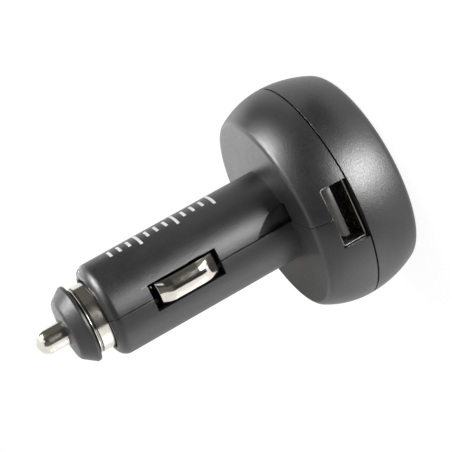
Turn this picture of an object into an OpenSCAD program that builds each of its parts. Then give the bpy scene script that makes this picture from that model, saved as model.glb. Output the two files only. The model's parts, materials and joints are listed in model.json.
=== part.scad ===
/* [Head] */
// Largest diameter of the round head
head_d = 49.6; // [48:0.2:52]
// Depth of the front cap, from its face to the seam with the rear shells
cap_depth = 12.2; // [11.8:0.1:13]
// Depth of the rear shells behind that seam
rear_depth = 10.4; // [9.6:0.1:12]
// Radius of the bulge on the rear shells
rear_bulge_r = 19; // [18:0.5:22]
// Edge rounding of the flat rear face
rear_edge_r = 0.8; // [0.5:0.1:1.2]
// Edge rounding of the front face
front_edge_r = 3; // [2.4:0.1:3.6]
// Wall of the head shells
head_wall = 2; // [1.7:0.1:2.2]
// Thickness of the cap's front wall
front_wall = 2.6; // [2.2:0.1:3]
// Shadow gap between the cap and the rear shells
seam_gap = 0.25; // [0.1:0.05:0.4]
// Gap along the parting line of the two rear shells
parting_gap = 0.12; // [0.06:0.02:0.2]

/* [Display] */
// Diameter of the smoked window
lens_d = 34.4; // [32:0.2:36]
// Thickness of the smoked window
lens_t = 1.4; // [1:0.1:1.6]
// How far the window lies below the cap's face
lens_inset = 0.2; // [0.1:0.05:0.4]
// Ledge that the window rests on
lens_ledge = 1.5; // [1:0.1:2]
// Width of the three digit block
digit_block_w = 22.6; // [20:0.2:24]
// Height of the three digit block
digit_block_h = 14; // [12:0.2:15]
// Depth of the three digit block
digit_block_t = 6.4; // [5.5:0.1:7]
// Gap around the round display board
round_board_gap = 0.4; // [0.3:0.05:1]

/* [Barrel] */
// Outside diameter of the barrel that enters the vehicle socket
barrel_d = 20.9; // [20.6:0.1:21.2]
// Length of the barrel behind the head
barrel_len = 43.1; // [42.6:0.1:46]
// Wall of the barrel
barrel_wall = 1.6; // [1.4:0.1:1.8]
// Rounding of the barrel's nose end
barrel_end_r = 2.3; // [1.8:0.1:2.4]
// Width of the finger scoop at the barrel's root
scoop_w = 4.25; // [3.5:0.05:4.6]
// Length of the finger scoop
scoop_len = 7.9; // [6.5:0.1:8.5]
// Depth of the finger scoop
scoop_depth = 1.25; // [0.8:0.05:1.4]

/* [Side contacts] */
// Length of each contact window
window_len = 16.1; // [15.5:0.1:17]
// Width of each contact window
window_w = 6.1; // [5.8:0.1:6.8]
// Distance from the rear face of the head to the windows
window_start = 17.05; // [16.8:0.05:17.4]
// Thickness of the contact sheet
leaf_t = 0.4; // [0.3:0.05:0.5]
// How far the contacts stand out of the barrel
leaf_rise = 0.85; // [0.5:0.05:1]
// Side rounding of the pressed contact
leaf_round_r = 2.2; // [2:0.05:2.3]
// Length of the contact's crest
leaf_crest_len = 6.8; // [5.5:0.1:7.6]
// Length of each sloping end of the contact
leaf_slope_len = 3; // [2.6:0.1:3.3]
// How far a sloping end falls before its steep foot
leaf_drop = 1.7; // [1.3:0.05:1.8]
// Width of the contact's flat tail
leaf_tail_w = 4; // [3:0.1:4.4]

/* [USB socket] */
// Width of the opening in the head
usb_mouth_w = 13.4; // [13.4:0.1:14.2]
// Height of the opening in the head
usb_mouth_h = 6.05; // [5.9:0.05:6.5]
// Outside width of the metal socket shell
usb_shell_w = 13.1; // [12.8:0.05:13.2]
// Outside height of the metal socket shell
usb_shell_h = 5.6; // [5.5:0.05:5.7]
// Sheet of the metal socket shell
usb_sheet = 0.3; // [0.25:0.01:0.35]
// Length of the metal socket shell
usb_len = 13.8; // [13:0.1:14.2]
// How far the socket shell lies inside the head
usb_inset = 2.5; // [2:0.1:3]
// How far the tongue lies inside the socket shell
tongue_inset = 2.1; // [1.9:0.1:2.6]
// Thickness of the tongue
tongue_t = 1.84; // [1.7:0.02:1.9]

/* [Nose] */
// Diameter of the metal collar
collar_d = 15; // [14.8:0.1:15.2]
// Length of the collar that shows in front of the barrel
collar_show = 3.5; // [3.1:0.1:4.1]
// Step from the barrel's side in to the nose cap's rim
nose_step = 1.75; // [1.5:0.05:2.2]
// Height of the nose cap from its rim to the peak of its front cone
nose_h = 4.45; // [4.2:0.05:4.9]
// Slope of the nose cap's front
nose_front_slope = 7; // [4:0.5:10]
// Diameter of the cap's threaded spigot
spigot_d = 12.6; // [12.3:0.1:12.8]
// Length of the cap's threaded spigot
spigot_len = 7.3; // [6.5:0.1:7.6]
// Diameter of the centre pin
pin_d = 5.3; // [5:0.1:5.6]
// How far the centre pin stands out past the peak of the nose cap
pin_show = 6; // [5.5:0.05:6.8]
// Inward travel of the centre pin
pin_travel = 2.5; // [1.5:0.1:2.8]

/* [Inside] */
// Fuse diameter over its end caps
fuse_d = 5.2; // [5:0.1:5.4]
// Fuse length
fuse_len = 20; // [19.6:0.1:20.2]
// Length of the fuse's metal end caps
fuse_cap_len = 5; // [4:0.1:6]
// Circuit board thickness
board_t = 1.6; // [1.2:0.1:1.7]
// Gap between the main board and the side contacts
board_side_gap = 0.2; // [0.2:0.05:0.5]
// Gap between the input capacitor and the bore
input_can_gap = 1.19; // [1.1:0.01:1.9]
// Gap between the output capacitor and the bore
output_can_gap = 2.28; // [2.1:0.01:2.8]
// Diameter of the choke
choke_d = 7; // [6:0.1:7.4]
// Height of the choke
choke_h = 4.6; // [4:0.1:4.8]

/* [Hidden] */
$fn = 96;

// Clearances
press_gap = 0.05;
slip_gap = 0.1;
pin_gap = 0.08;
free_gap = 0.3;
rest_gap = 0.2;
cut = 1;
// How far an edge rounding crosses the bulge it joins
edge_cross = 0.02;

// Heights along the axis, from the cap's face
seam_z = cap_depth;
rear_z = seam_z + rear_depth;
barrel_end_z = rear_z + barrel_len;
collar_top_z = barrel_end_z + collar_show;
nose_rim_z = collar_top_z + free_gap;
nose_top_z = nose_rim_z + nose_h;
pin_tip_z = nose_top_z + pin_show;

// Head
head_r = head_d / 2;
cap_fillet_z = front_edge_r;
cap_reach = head_r - front_edge_r;
cap_fillet_x = sqrt(pow(cap_reach + edge_cross, 2) - pow(seam_z - cap_fillet_z, 2));
cap_tangent_z = seam_z - head_r * (seam_z - cap_fillet_z) / cap_reach;
rear_centre_x = head_r - rear_bulge_r;
rear_reach = rear_bulge_r - rear_edge_r;
rear_fillet_z = rear_z - rear_edge_r;
rear_fillet_x = rear_centre_x
    + sqrt(pow(rear_reach + edge_cross, 2) - pow(rear_fillet_z - seam_z, 2));
rear_tangent_z = seam_z + rear_bulge_r * (rear_fillet_z - seam_z) / rear_reach;
lip_out_r = head_r - head_wall + slip_gap;
lip_t = 1;
lip_drop = 1.9;
lip_hold = 2.4;
lip_room = 1.6;
cap_inner_r = head_r - head_wall - lip_room;
rib_w = 2.4;
rib_reach = 2;

// Boards
round_board_r = cap_inner_r - round_board_gap;
round_board_z = seam_z + seam_gap - board_t;
board_foot_z = round_board_z + board_t;
board_reach = 13;
board_neck_len = 4.8;
board_neck_w = 9;
board_usb_gap = 1;
shoulder_z = rear_z + board_reach;
board_top_z = shoulder_z + board_neck_len;

// Barrel
barrel_r = barrel_d / 2;
bore_r = barrel_r - barrel_wall;
dish_r = barrel_r - barrel_end_r + 0.15;
dish_depth = 1.6;
collar_r = collar_d / 2;
collar_hole_r = collar_r + slip_gap;
hold_t = 1.2;
flange_t = 1.2;
flange_r = bore_r - slip_gap;
front_web_z = barrel_end_z - dish_depth - hold_t;
flange_z = front_web_z - slip_gap - flange_t;
rear_web_z = flange_z - slip_gap - hold_t;
spigot_r = spigot_d / 2;
collar_bore_r = spigot_r + slip_gap;
groove_h = 0.35;
groove_depth = 0.4;
bead_h = 0.5;
collar_groove_z = collar_top_z - groove_h - bead_h;
scoop_c = (pow(scoop_len, 2) - pow(scoop_w, 2)) / (2 * scoop_w);
scoop_r = scoop_w + scoop_c;

// Side contacts
window_z = rear_z + window_start;
leaf_mid_z = window_z + window_len / 2;
leaf_top_x = barrel_r + leaf_rise;
leaf_room = 0.75;
leaf_side_gap = 0.5;
leaf_flat_x = bore_r - leaf_room;
leaf_half_w = window_w / 2 - leaf_side_gap;
board_half_w = leaf_flat_x - leaf_t - board_side_gap;
leaf_core_y = leaf_half_w - leaf_round_r;
leaf_foot_len = 0.4;
leaf_end_z = leaf_mid_z + leaf_crest_len / 2 + leaf_slope_len + leaf_foot_len;
leaf_root_z = leaf_mid_z - leaf_crest_len / 2 - leaf_slope_len - leaf_foot_len;
leaf_lip_len = 2.4;
leaf_tail_lap = 2.6;
leaf_tail_z = shoulder_z - leaf_tail_lap;

// Nose, pin and fuse
pin_r = pin_d / 2;
nose_wall = 2.95;
nose_rim_r = barrel_r - nose_step;
nose_round_r = 1.5;
nose_round_in = 3;
nose_round_x = nose_rim_r - nose_round_in;
nose_round_z = nose_top_z - nose_round_x * tan(nose_front_slope) - nose_round_r / cos(nose_front_slope);
nose_front_x = nose_round_x + nose_round_r * sin(nose_front_slope);
nose_front_z = nose_round_z + nose_round_r * cos(nose_front_slope);
nose_edge_rise = 0.8;
nose_edge_chamfer = 0.25;
nose_edge_z = nose_rim_z + nose_edge_rise;
edge_dx = nose_rim_r - nose_round_x;
edge_dz = nose_round_z - nose_edge_z;
edge_run = sqrt(pow(edge_dx, 2) + pow(edge_dz, 2));
edge_turn = 180 - atan2(edge_dz, edge_dx) - asin(nose_round_r / edge_run);
edge_len = sqrt(pow(edge_run, 2) - pow(nose_round_r, 2));
chamber_r = 4.2;
pin_flange_r = chamber_r - slip_gap;
pin_flange_t = 1.2;
pin_flange_z = nose_top_z - nose_wall - rest_gap - pin_flange_t;
fuse_r = fuse_d / 2;
fuse_top_z = pin_flange_z;
fuse_foot_z = fuse_top_z - fuse_len;
fuse_sheet = 0.2;
tube_r = fuse_r - fuse_sheet - press_gap;
tube_t = 0.5;
guide_r = fuse_r + free_gap;
plate_t = 0.5;
plate_r = 3.2;
plate_top_z = board_top_z + plate_t;
spring_wire_r = 0.3;
spring_turns = 5.5;

// USB socket
usb_front_x = head_r - usb_inset;
usb_back_x = usb_front_x - usb_len;
usb_z = board_foot_z;
usb_top_z = usb_z + usb_shell_h + free_gap;
usb_hollow_z = usb_z + usb_sheet;
usb_hollow_h = usb_shell_h - 2 * usb_sheet;
usb_hollow_w = usb_shell_w - 2 * usb_sheet;
tongue_drop = 0.95;
tongue_z = usb_hollow_z + usb_hollow_h - tongue_drop - tongue_t;
tongue_side_gap = 0.7;
tongue_w = usb_hollow_w - 2 * tongue_side_gap;
tongue_x = usb_front_x - tongue_inset;
usb_block_len = 2.4;
usb_pin_pitch = 2.25;
usb_pin_w = 1.1;
usb_pin_t = 0.25;

// Parts on the boards
part_foot_z = rear_z + 2;
input_can_x = 3.1;
input_can_len = 7.4;
input_can_d = sqrt(pow(bore_r, 2) - pow(input_can_x, 2)) - board_t / 2 - input_can_gap;
output_can_x = 3.6;
output_can_len = 7;
output_can_d = sqrt(pow(bore_r, 2) - pow(output_can_x, 2)) - board_t / 2 - output_can_gap;
choke_z = rear_z + 5.5;
choke_flange_t = 0.9;
choke_core_d = choke_d / 2;
chip_w = 5;
chip_t = 1.6;
chip_h = 4;
chip_rise = 4.2;
diode_x = -5.5;
diode_w = 4.5;
diode_t = 2;
diode_h = 2.6;
diode_rise = 3;
header_w = 10;
header_x = -6;
header_t = 2.5;
driver_w = 10;
driver_h = 4;
driver_gap = 2;
plate_tab_w = 3;
plate_tab_t = 0.4;
plate_tab_len = 3;
rail_t = 1;
rail_grip = 0.325;
rail_gap = 1;

// Block between two heights and two distances from the centre, along X
module block(x0, x1, w, z0, z1) {
    translate([x0, -w / 2, z0]) cube([x1 - x0, w, z1 - z0]);
}

module ring(r_out, r_in, z0, z1) {
    difference() {
        translate([0, 0, z0]) cylinder(r = r_out, h = z1 - z0);
        translate([0, 0, z0 - cut]) cylinder(r = r_in, h = z1 - z0 + 2 * cut);
    }
}

module disc(r, z0, z1) {
    translate([0, 0, z0]) cylinder(r = r, h = z1 - z0);
}

// Half section of the two rear shells before they are parted
module rear_outline() {
    intersection() {
        translate([rear_centre_x, seam_z]) circle(r = rear_bulge_r);
        translate([0, seam_z + seam_gap]) square([head_r + cut, rear_tangent_z - seam_z - seam_gap]);
    }
    translate([rear_fillet_x, rear_fillet_z]) circle(r = rear_edge_r);
    translate([0, seam_z + seam_gap]) square([rear_fillet_x, rear_depth - seam_gap]);
    square_top = barrel_end_z - barrel_end_r;
    translate([0, seam_z + seam_gap]) square([barrel_r, square_top - seam_z - seam_gap]);
    translate([barrel_r - barrel_end_r, square_top]) circle(r = barrel_end_r);
    translate([0, square_top - cut]) square([barrel_r - barrel_end_r, barrel_end_r + cut]);
}

module rear_hollow() {
    intersection() {
        translate([rear_centre_x, seam_z]) circle(r = rear_bulge_r - head_wall);
        translate([0, seam_z]) square([head_r, rear_depth - head_wall]);
    }
    translate([0, rear_z - head_wall - cut]) square([bore_r, rear_web_z - rear_z + head_wall + cut]);
    translate([0, rear_web_z - cut]) square([collar_hole_r, barrel_end_z - rear_web_z + 2 * cut]);
    translate([0, flange_z - slip_gap]) square([bore_r, flange_t + 2 * slip_gap]);
    translate([0, barrel_end_z - dish_depth]) square([dish_r, dish_depth + cut]);
}

module contact_window(side) {
    x0 = side > 0 ? bore_r - 2 : -barrel_r - cut;
    block(x0, x0 + barrel_r - bore_r + 2 + cut, window_w, window_z, window_z + window_len);
}

// Web across the bore that guides the fuse and leaves the contacts room
module guide_web(z0) {
    difference() {
        disc(bore_r + cut / 2, z0, z0 + hold_t);
        disc(guide_r, z0 - cut, z0 + hold_t + cut);
        block(leaf_flat_x - 3, bore_r + cut, window_w + 1, z0 - cut, z0 + hold_t + cut);
        block(-bore_r - cut, 3 - leaf_flat_x, window_w + 1, z0 - cut, z0 + hold_t + cut);
    }
}

// Rails that hold the main board's edges against the parting plane
module board_rails() {
    for (turn = [0, 180]) for (face = [-1, 1])
        rotate([0, 0, turn]) translate([0, face * (board_t + rail_t) / 2, 0])
            block(board_half_w - rail_grip, bore_r + rail_grip, rail_t, rear_z + rail_gap,
                leaf_tail_z - 2 * rail_gap);
}

module rear_shell() {
    difference() {
        rotate_extrude() rear_outline();
        rotate_extrude() rear_hollow();
        contact_window(1);
        contact_window(-1);
        translate([0, 0, seam_z - cut])
            block(usb_back_x + 6, head_r + cut, usb_mouth_w, 0, usb_mouth_h + cut);
    }
    difference() {
        ring(lip_out_r, lip_out_r - lip_t, seam_z - lip_drop, seam_z + lip_hold);
        block(0, head_r, usb_mouth_w, seam_z - lip_drop - cut, seam_z + lip_hold + cut);
    }
    guide_web(fuse_foot_z + free_gap);
    guide_web(rear_web_z - hold_t);
    board_rails();
}

module half_space(side) {
    size = 2 * barrel_end_z;
    y0 = side > 0 ? parting_gap / 2 : -size - parting_gap / 2;
    translate([-size / 2, y0, -size / 4]) cube([size, size, size]);
}

module upper_shell() {
    color([0.09, 0.09, 0.095])
    difference() {
        intersection() {
            rear_shell();
            half_space(1);
        }
        translate([barrel_r - scoop_depth, -scoop_c, rear_z]) rotate([0, 90, 0])
            cylinder(r = scoop_r, h = scoop_depth + cut);
    }
}

module lower_shell() {
    color([0.09, 0.09, 0.095])
    intersection() {
        rear_shell();
        half_space(-1);
    }
}

module cap_outline() {
    intersection() {
        translate([0, seam_z]) circle(r = head_r);
        translate([0, cap_tangent_z]) square([head_r + cut, seam_z - cap_tangent_z]);
    }
    translate([cap_fillet_x, cap_fillet_z]) circle(r = front_edge_r);
    square([cap_fillet_x, cap_tangent_z + cut]);
}

module front_cap() {
    color([0.09, 0.09, 0.095]) {
        difference() {
            rotate_extrude() cap_outline();
            disc(cap_inner_r, front_wall, seam_z + cut);
            disc(lip_out_r + slip_gap, seam_z - lip_drop - slip_gap, seam_z + cut);
            disc(lens_d / 2 + slip_gap, -cut, lens_inset + lens_t);
            disc(lens_d / 2 - lens_ledge, -cut, front_wall + cut);
        }
        for (turn = [45 : 90 : 315]) rotate([0, 0, turn])
            block(round_board_r - rib_reach, cap_inner_r + rest_gap, rib_w, front_wall - rest_gap,
                round_board_z);
    }
}

module display_lens() {
    color([0.08, 0.02, 0.02, 0.6])
    disc(lens_d / 2, lens_inset, lens_inset + lens_t);
}

module display_board() {
    color([0.05, 0.25, 0.12])
    disc(round_board_r, round_board_z, round_board_z + board_t);
}

module digit_block() {
    color([0.06, 0.06, 0.06])
    block(-digit_block_w / 2, digit_block_w / 2, digit_block_h, round_board_z - digit_block_t,
        round_board_z);
}

module display_chip() {
    color([0.05, 0.05, 0.05])
    translate([0, digit_block_h / 2 + driver_gap + driver_h / 2, 0])
        block(-driver_w / 2, driver_w / 2, driver_h, round_board_z - chip_t, round_board_z);
}

module main_board() {
    color([0.05, 0.25, 0.12]) {
        block(-board_half_w, usb_back_x - board_usb_gap, board_t, board_foot_z, usb_top_z);
        block(-board_half_w, board_half_w, board_t, usb_top_z, shoulder_z);
        block(-board_neck_w / 2, board_neck_w / 2, board_t, shoulder_z - cut, board_top_z);
    }
}

module board_header() {
    color([0.06, 0.06, 0.06])
    translate([0, -(board_t + header_t) / 2, 0])
        block(header_x, header_x + header_w, header_t, board_foot_z, board_foot_z + header_t);
}

module usb_shell() {
    color([0.75, 0.74, 0.72])
    difference() {
        block(usb_back_x, usb_front_x, usb_shell_w, usb_z, usb_z + usb_shell_h);
        block(usb_back_x - cut, usb_front_x + cut, usb_hollow_w, usb_hollow_z,
            usb_hollow_z + usb_hollow_h);
    }
}

module usb_tongue() {
    tip = 0.35;
    color([0.12, 0.12, 0.12]) {
        block(usb_back_x + 0.2, usb_back_x + usb_block_len, usb_hollow_w - 2 * press_gap,
            usb_hollow_z + press_gap, usb_hollow_z + usb_hollow_h - press_gap);
        translate([0, tongue_w / 2, 0]) rotate([90, 0, 0]) linear_extrude(height = tongue_w)
            polygon([[usb_back_x + 1, tongue_z], [tongue_x - tip, tongue_z],
                [tongue_x, tongue_z + tip], [tongue_x, tongue_z + tongue_t - tip],
                [tongue_x - tip, tongue_z + tongue_t], [usb_back_x + 1, tongue_z + tongue_t]]);
    }
}

module usb_pin(place) {
    color([0.8, 0.65, 0.25])
    translate([0, (place - 2.5) * usb_pin_pitch, 0])
        block(usb_back_x + usb_block_len, tongue_x - 1.2, usb_pin_w, tongue_z - usb_pin_t, tongue_z);
}

module standing_can(d, len, x) {
    translate([x, (board_t + d) / 2, part_foot_z]) cylinder(d = d, h = len);
}

module input_capacitor() {
    color([0.12, 0.13, 0.2])
    standing_can(input_can_d, input_can_len, -input_can_x);
}

module output_capacitor() {
    color([0.12, 0.13, 0.2])
    standing_can(output_can_d, output_can_len, output_can_x);
}

module choke_place() {
    translate([0, -board_t / 2, choke_z]) rotate([90, 0, 0]) children();
}

module choke_core() {
    color([0.2, 0.2, 0.21])
    choke_place() {
        cylinder(d = choke_d, h = choke_flange_t);
        cylinder(d = choke_core_d, h = choke_h);
        translate([0, 0, choke_h - choke_flange_t]) cylinder(d = choke_d, h = choke_flange_t);
    }
}

module choke_winding() {
    color([0.7, 0.35, 0.15])
    choke_place() difference() {
        translate([0, 0, choke_flange_t + press_gap])
            cylinder(d = choke_d - 2 * free_gap, h = choke_h - 2 * (choke_flange_t + press_gap));
        translate([0, 0, -cut]) cylinder(d = choke_core_d + 2 * press_gap, h = choke_h + 2 * cut);
    }
}

module regulator_chip() {
    color([0.05, 0.05, 0.05])
    translate([0, -(board_t + chip_t) / 2, 0])
        block(-chip_w / 2, chip_w / 2, chip_t, board_foot_z + chip_rise,
            board_foot_z + chip_rise + chip_h);
}

module flyback_diode() {
    color([0.05, 0.05, 0.05])
    translate([0, (board_t + diode_t) / 2, 0])
        block(diode_x, diode_x + diode_w, diode_t, board_foot_z + diode_rise,
            board_foot_z + diode_rise + diode_h);
}

module spring_plate() {
    color([0.78, 0.76, 0.7]) {
        disc(plate_r, board_top_z, plate_top_z);
        for (face = [-1, 1]) translate([0, face * (board_t + plate_tab_t) / 2, 0])
            block(-plate_tab_w / 2, plate_tab_w / 2, plate_tab_t, board_top_z - plate_tab_len,
                board_top_z + plate_t / 2);
    }
}

// Round wire wound along Z between two heights
module coil(z0, z1, mean_r, wire_r, turns) {
    steps = round(turns * 20);
    sides = 8;
    rise = (z1 - z0 - 2 * wire_r) / steps;
    points = [for (i = [0 : steps]) for (k = [0 : sides - 1])
        let (turn = i * 360 * turns / steps, slope = k * 360 / sides,
            reach = mean_r + wire_r * cos(slope))
        [reach * cos(turn), reach * sin(turn), z0 + wire_r + i * rise + wire_r * sin(slope)]];
    walls = [for (i = [0 : steps - 1]) for (k = [0 : sides - 1])
        let (a = i * sides + k, b = i * sides + (k + 1) % sides)
        [a, a + sides, b + sides, b]];
    ends = [[for (k = [0 : sides - 1]) k],
        [for (k = [sides - 1 : -1 : 0]) steps * sides + k]];
    polyhedron(points = points, faces = concat(walls, ends), convexity = 8);
}

module fuse_spring() {
    color([0.75, 0.75, 0.75])
    coil(plate_top_z, fuse_foot_z, fuse_r - spring_wire_r - 0.2, spring_wire_r, spring_turns);
}

module collar() {
    color([0.75, 0.74, 0.72])
    difference() {
        union() {
            disc(collar_r, rear_web_z, collar_groove_z);
            disc(flange_r, flange_z, flange_z + flange_t);
            disc(collar_r - groove_depth, collar_groove_z - slip_gap, collar_top_z);
            disc(collar_r - slip_gap, collar_top_z - bead_h, collar_top_z);
        }
        disc(collar_bore_r, rear_web_z - cut, collar_top_z + cut);
    }
}

module nose_cap() {
    color([0.09, 0.09, 0.095])
    difference() {
        rotate_extrude() {
            polygon([[0, nose_rim_z], [nose_rim_r - nose_edge_chamfer, nose_rim_z],
                [nose_rim_r, nose_rim_z + nose_edge_chamfer], [nose_rim_r, nose_edge_z],
                [nose_rim_r + edge_len * cos(edge_turn), nose_edge_z + edge_len * sin(edge_turn)],
                [nose_round_x, nose_round_z], [nose_front_x, nose_front_z], [0, nose_top_z]]);
            translate([nose_round_x, nose_round_z]) circle(r = nose_round_r);
            translate([0, nose_rim_z - spigot_len]) square([spigot_r, spigot_len + cut]);
        }
        disc(chamber_r, nose_rim_z - spigot_len - cut, nose_top_z - nose_wall);
        disc(pin_r + pin_gap, nose_top_z - nose_wall - cut, nose_top_z + cut);
    }
}

module centre_pin() {
    color([0.75, 0.74, 0.72]) {
        disc(pin_flange_r, pin_flange_z, pin_flange_z + pin_flange_t);
        disc(pin_r, pin_flange_z, pin_tip_z - pin_r);
        translate([0, 0, pin_tip_z - pin_r]) sphere(r = pin_r);
    }
}

module fuse_tube() {
    color([0.85, 0.9, 0.92, 0.4])
    ring(tube_r, tube_r - tube_t, fuse_foot_z + fuse_sheet, fuse_top_z - fuse_sheet);
}

module fuse_wire() {
    color([0.7, 0.7, 0.68])
    disc(0.15, fuse_foot_z + fuse_sheet, fuse_top_z - fuse_sheet);
}

module fuse_end(z0, floor_z) {
    difference() {
        disc(fuse_r, z0, z0 + fuse_cap_len);
        disc(fuse_r - fuse_sheet, floor_z, floor_z + fuse_cap_len);
    }
}

module fuse_cap_inner() {
    color([0.75, 0.74, 0.72])
    fuse_end(fuse_foot_z, fuse_foot_z + fuse_sheet);
}

module fuse_cap_outer() {
    color([0.75, 0.74, 0.72])
    fuse_end(fuse_top_z - fuse_cap_len, fuse_top_z - fuse_sheet - fuse_cap_len);
}

// Pressed form of the contact, drawn in by an inset for its hollow side
module leaf_form(inset) {
    top_x = leaf_top_x - inset;
    low_x = leaf_flat_x - leaf_t - (inset > 0 ? cut : 0);
    round_r = leaf_round_r - inset;
    crest = leaf_crest_len / 2;
    foot = crest + leaf_slope_len - inset / 2;
    toe = foot + leaf_foot_len;
    intersection() {
        translate([0, 0, leaf_root_z - cut]) linear_extrude(height = leaf_end_z - leaf_root_z + 2 * cut)
            union() {
                translate([top_x - round_r, leaf_core_y]) circle(r = round_r);
                translate([top_x - round_r, -leaf_core_y]) circle(r = round_r);
                translate([top_x - round_r, -leaf_core_y]) square([round_r, 2 * leaf_core_y]);
                translate([low_x, inset - leaf_half_w])
                    square([top_x - round_r - low_x, 2 * (leaf_half_w - inset)]);
            }
        translate([0, leaf_half_w + cut, leaf_mid_z]) rotate([90, 0, 0])
            linear_extrude(height = 2 * (leaf_half_w + cut))
                polygon([[low_x, -toe], [leaf_flat_x - inset, -toe], [top_x - leaf_drop, -foot],
                    [top_x, -crest], [top_x, crest], [top_x - leaf_drop, foot],
                    [leaf_flat_x - inset, toe], [low_x, toe]]);
    }
}

module leaf() {
    low_x = leaf_flat_x - leaf_t;
    difference() {
        leaf_form(0);
        leaf_form(leaf_t);
    }
    block(low_x, leaf_flat_x, leaf_tail_w, leaf_tail_z, leaf_root_z + leaf_t);
    block(low_x, leaf_flat_x, leaf_tail_w, leaf_end_z - leaf_t, leaf_end_z + leaf_lip_len);
}

module right_contact() {
    color([0.78, 0.76, 0.7])
    leaf();
}

module left_contact() {
    color([0.78, 0.76, 0.7])
    rotate([0, 0, 180]) leaf();
}

upper_shell();
lower_shell();
front_cap();
display_lens();
display_board();
digit_block();
display_chip();
main_board();
usb_shell();
usb_tongue();
usb_pin(1);  // usb_pin_1
usb_pin(2);  // usb_pin_2
usb_pin(3);  // usb_pin_3
usb_pin(4);  // usb_pin_4
input_capacitor();
output_capacitor();
choke_core();
choke_winding();
regulator_chip();
flyback_diode();
board_header();
spring_plate();
fuse_spring();
collar();
nose_cap();
centre_pin();
fuse_tube();
fuse_wire();
fuse_cap_inner();
fuse_cap_outer();
left_contact();
right_contact();
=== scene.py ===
# Plug-in voltmeter with a USB socket: finish, light and camera. Lengths are in millimetres
# until they reach a mesh, and the axis of the plug is Z, with its display at the floor.
import json
from math import asin, atan2, ceil, cos, degrees, hypot, pi, radians, sin, sqrt, tan

import bmesh
import bpy
from mathutils import Matrix, Vector


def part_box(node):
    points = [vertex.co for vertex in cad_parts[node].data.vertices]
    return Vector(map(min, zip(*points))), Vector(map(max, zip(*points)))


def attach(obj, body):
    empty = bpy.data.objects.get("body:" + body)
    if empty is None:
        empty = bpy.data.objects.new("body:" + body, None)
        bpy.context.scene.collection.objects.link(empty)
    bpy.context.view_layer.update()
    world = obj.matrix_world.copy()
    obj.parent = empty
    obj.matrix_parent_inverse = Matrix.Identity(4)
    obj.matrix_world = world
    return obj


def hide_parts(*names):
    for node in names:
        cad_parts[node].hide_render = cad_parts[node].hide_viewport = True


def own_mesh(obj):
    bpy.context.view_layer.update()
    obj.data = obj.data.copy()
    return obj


MM = 0.001
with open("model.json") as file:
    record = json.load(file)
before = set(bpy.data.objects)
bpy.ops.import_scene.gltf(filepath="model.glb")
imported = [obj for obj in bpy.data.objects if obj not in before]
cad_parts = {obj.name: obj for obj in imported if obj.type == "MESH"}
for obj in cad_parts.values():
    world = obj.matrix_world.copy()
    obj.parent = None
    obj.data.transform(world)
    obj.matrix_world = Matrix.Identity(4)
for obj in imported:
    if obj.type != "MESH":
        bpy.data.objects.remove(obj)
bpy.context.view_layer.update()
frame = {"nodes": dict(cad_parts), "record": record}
nodes = frame["nodes"]


def box_mm(name):
    """Lowest and highest corner of a CAD node, in millimetres."""
    low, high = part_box(name)
    return low / MM, high / MM


# Places that the frame gives
cap_high = box_mm("front_cap")[1]
shell_low, shell_high = box_mm("lower_shell")
collar_low, collar_high = box_mm("collar")
nose_low, nose_high = box_mm("nose_cap")
pin_low, pin_high = box_mm("centre_pin")
leaf_low, leaf_high = box_mm("right_contact")
usb_low, usb_high = box_mm("usb_shell")
tongue_low, tongue_high = box_mm("usb_tongue")
lens_low, lens_high = box_mm("display_lens")
digit_low = box_mm("digit_block")[0]
spring_low, spring_high = box_mm("fuse_spring")

# Head, as the shells are moulded; the seam's turn is in degrees
head_r = cap_high.x
seam_z = cap_high.z
seam_gap = 0.32
seam_round = 0.06
seam_turn = 0.2
head_wall = 2.0
cap_front_round = 3.0
cap_inner_r = 21.2
front_wall = 2.6
lens_r = lens_high.x
lens_ledge = 1.5
lens_gap = 0.1
rear_z = 22.6
bulge_r = 19.0
rear_round = 1.6
lip_out_r = 22.9
lip_t = 1.0
lip_low_z = shell_low.z
lip_high_z = seam_z + 2.4
mould_edge = 0.04

# Barrel, with an inner rib beside each contact that closes the view through the two windows
barrel_r = 10.45
bore_r = 8.85
barrel_end_z = shell_high.z
barrel_round = 2.3
dish_r = 8.3
dish_depth = 1.6
dish_round = 0.3
collar_hole_r = 7.6
web_t = 1.2
web_gap = 0.1
parting_gap = 0.15
rib_t = 1.2
rib_lap = 0.1
rib_near_y = 2.65
rib_low_z = 41.1
rib_high_z = 60.4
window_w = 6.1
window_len = 16.1
window_z = 39.65
scoop_floor_x = 9.2
scoop_w = 4.25
scoop_len = 7.9
scoop_past = 1
mouth_w = 13.4
mouth_low_z = seam_z - 3
mouth_top_z = 18.25
mouth_back_x = 14.5

# Collar, nose and centre pin
collar_r = 7.5
collar_bore_r = 6.4
groove_h = 0.35
groove_depth = 0.4
bead_h = 0.5
bead_r = 0.25
bead_step = 0.1
bead_inset = 0.26
rim_gap = 0.3
rim_edge_h = 0.8
rim_round = 0.35
edge_drop = 0.15
shoulder_r = 1.5
shoulder_inset = 3
spigot_r = 6.3
chamber_r = 4.2
nose_wall = 2.95
nose_slope = radians(7)
pin_r = 2.65
pin_gap = 0.08
pin_flange_t = 1.2
hole_round = 0.15

# Side contacts: up is towards the nose, down towards the head
leaf_top_x = leaf_high.x
leaf_low_x = leaf_low.x
leaf_sheet = 0.4
leaf_half_w = leaf_high.y
leaf_crown_r = 3.75
leaf_corner_r = 0.7
leaf_crest_round = 0.7
leaf_knee_round = 0.35
leaf_crest_up = 3.9
leaf_crest_down = 4.1
leaf_slope_up = 2.5
leaf_slope_down = 3.0
leaf_drop = 1.7
leaf_foot_len = 0.4
leaf_bow = 0.04
leaf_mid_z = window_z + window_len / 2
leaf_tail_half_w = 2.0
tail_lap = 0.4
tail_round = 0.08

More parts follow.
